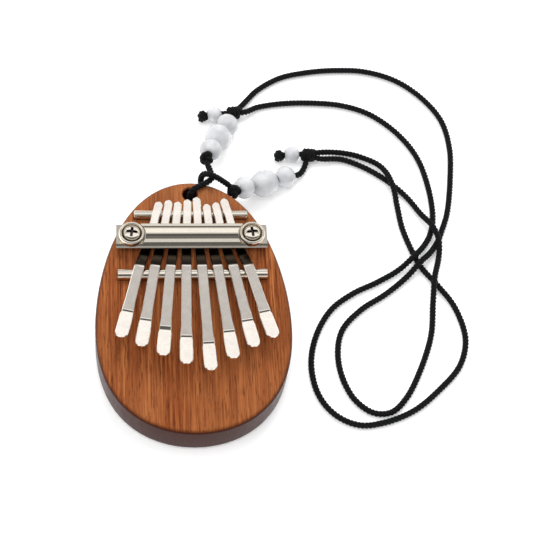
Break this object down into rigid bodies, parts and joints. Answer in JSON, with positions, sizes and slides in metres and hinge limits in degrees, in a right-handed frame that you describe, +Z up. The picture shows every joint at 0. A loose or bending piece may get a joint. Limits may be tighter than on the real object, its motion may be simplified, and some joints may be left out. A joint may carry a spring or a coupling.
{
  "type": "mbira thumb piano",
  "caption": "Egg-shaped wooden pocket thumb piano with fanned steel tines clamped under a screwed bar over two rods, on a knotted black neck cord with milky beads.",
  "frame": {"origin": "middle of the board's underside, the lanyard left out", "axes": "+Z up out of the playing face, +Y towards the lanyard hole, +X to the right seen from the player"},
  "size_m": [0.1106, 0.1291, 0.0194],
  "materials": {
    "board_wood": "semi-gloss reddish brown",
    "nickel_hardware": "polished nickel",
    "tine_steel": "plated spring steel",
    "black_cord": "twisted black cord",
    "milky_bead": "translucent milky white"
  },
  "bodies": {
    "instrument": {"board": "board_wood", "rear_rod": "nickel_hardware", "front_rod": "nickel_hardware", "pressure_bar": "nickel_hardware", "left_cup_washer": "nickel_hardware", "left_screw": "nickel_hardware", "right_cup_washer": "nickel_hardware", "right_screw": "nickel_hardware", "arm_knot_left": "black_cord", "lower_bead_left": "milky_bead", "barrel_bead_left": "milky_bead", "upper_bead_left": "milky_bead", "tail_bead_left": "milky_bead", "slide_knot_left": "black_cord", "stop_knot_left": "black_cord", "arm_knot_right": "black_cord", "lower_bead_right": "milky_bead", "barrel_bead_right": "milky_bead", "upper_bead_right": "milky_bead", "tail_bead_right": "milky_bead", "slide_knot_right": "black_cord", "stop_knot_right": "black_cord", "hitch_cord_left": "black_cord", "hitch_cord_right": "black_cord", "hitch_bight": "black_cord", "bead_cord_left": "black_cord", "bead_cord_right": "black_cord", "tail_cord_left": "black_cord", "tail_cord_right": "black_cord", "neck_cord_outer": "black_cord", "neck_cord_inner": "black_cord"},
    "tine_1_clamped": {"tine_1_root": "tine_steel"},
    "tine_1_free": {"tine_1_blade": "tine_steel"},
    "tine_2_clamped": {"tine_2_root": "tine_steel"},
    "tine_2_free": {"tine_2_blade": "tine_steel"},
    "tine_3_clamped": {"tine_3_root": "tine_steel"},
    "tine_3_free": {"tine_3_blade": "tine_steel"},
    "tine_4_clamped": {"tine_4_root": "tine_steel"},
    "tine_4_free": {"tine_4_blade": "tine_steel"},
    "tine_5_clamped": {"tine_5_root": "tine_steel"},
    "tine_5_free": {"tine_5_blade": "tine_steel"},
    "tine_6_clamped": {"tine_6_root": "tine_steel"},
    "tine_6_free": {"tine_6_blade": "tine_steel"},
    "tine_7_clamped": {"tine_7_root": "tine_steel"},
    "tine_7_free": {"tine_7_blade": "tine_steel"},
    "tine_8_clamped": {"tine_8_root": "tine_steel"},
    "tine_8_free": {"tine_8_blade": "tine_steel"}
  },
  "joints": [
    {"name": "tine_1_tune", "type": "slide", "parent": "instrument", "child": "tine_1_clamped", "axis": [-0.279, -0.9603, 0], "range_m": [-0.0008, 0.0008]},
    {"name": "tine_1_pluck", "type": "hinge", "parent": "tine_1_clamped", "child": "tine_1_free", "pos_m": [-0.01558, 0.0082, 0.01495], "axis": [0.9743, -0.2251, 0], "range_deg": [-5, 8], "stiffness_Nm_per_rad": 1.5},
    {"name": "tine_2_tune", "type": "slide", "parent": "instrument", "child": "tine_2_clamped", "axis": [-0.2032, -0.9791, 0], "range_m": [-0.0008, 0.0008]},
    {"name": "tine_2_pluck", "type": "hinge", "parent": "tine_2_clamped", "child": "tine_2_free", "pos_m": [-0.01103, 0.0082, 0.01495], "axis": [0.9867, -0.1628, 0], "range_deg": [-5, 8], "stiffness_Nm_per_rad": 1.5},
    {"name": "tine_3_tune", "type": "slide", "parent": "instrument", "child": "tine_3_clamped", "axis": [-0.1235, -0.9923, 0], "range_m": [-0.0008, 0.0008]},
    {"name": "tine_3_pluck", "type": "hinge", "parent": "tine_3_clamped", "child": "tine_3_free", "pos_m": [-0.00647, 0.0082, 0.01495], "axis": [0.9951, -0.0985, 0], "range_deg": [-5, 8], "stiffness_Nm_per_rad": 1.5},
    {"name": "tine_4_tune", "type": "slide", "parent": "instrument", "child": "tine_4_clamped", "axis": [-0.0415, -0.9991, 0], "range_m": [-0.0008, 0.0008]},
    {"name": "tine_4_pluck", "type": "hinge", "parent": "tine_4_clamped", "child": "tine_4_free", "pos_m": [-0.00193, 0.0082, 0.01495], "axis": [0.9995, -0.033, 0], "range_deg": [-5, 8], "stiffness_Nm_per_rad": 1.5},
    {"name": "tine_5_tune", "type": "slide", "parent": "instrument", "child": "tine_5_clamped", "axis": [0.0415, -0.9991, 0], "range_m": [-0.0008, 0.0008]},
    {"name": "tine_5_pluck", "type": "hinge", "parent": "tine_5_clamped", "child": "tine_5_free", "pos_m": [0.00263, 0.0082, 0.01495], "axis": [0.9995, 0.033, 0], "range_deg": [-5, 8], "stiffness_Nm_per_rad": 1.5},
    {"name": "tine_6_tune", "type": "slide", "parent": "instrument", "child": "tine_6_clamped", "axis": [0.1235, -0.9923, 0], "range_m": [-0.0008, 0.0008]},
    {"name": "tine_6_pluck", "type": "hinge", "parent": "tine_6_clamped", "child": "tine_6_free", "pos_m": [0.00717, 0.0082, 0.01495], "axis": [0.9951, 0.0985, 0], "range_deg": [-5, 8], "stiffness_Nm_per_rad": 1.5},
    {"name": "tine_7_tune", "type": "slide", "parent": "instrument", "child": "tine_7_clamped", "axis": [0.2032, -0.9791, 0], "range_m": [-0.0008, 0.0008]},
    {"name": "tine_7_pluck", "type": "hinge", "parent": "tine_7_clamped", "child": "tine_7_free", "pos_m": [0.01172, 0.0082, 0.01495], "axis": [0.9867, 0.1628, 0], "range_deg": [-5, 8], "stiffness_Nm_per_rad": 1.5},
    {"name": "tine_8_tune", "type": "slide", "parent": "instrument", "child": "tine_8_clamped", "axis": [0.279, -0.9603, 0], "range_m": [-0.0008, 0.0008]},
    {"name": "tine_8_pluck", "type": "hinge", "parent": "tine_8_clamped", "child": "tine_8_free", "pos_m": [0.01628, 0.0082, 0.01495], "axis": [0.9743, 0.2251, 0], "range_deg": [-5, 8], "stiffness_Nm_per_rad": 1.5}
  ]
}
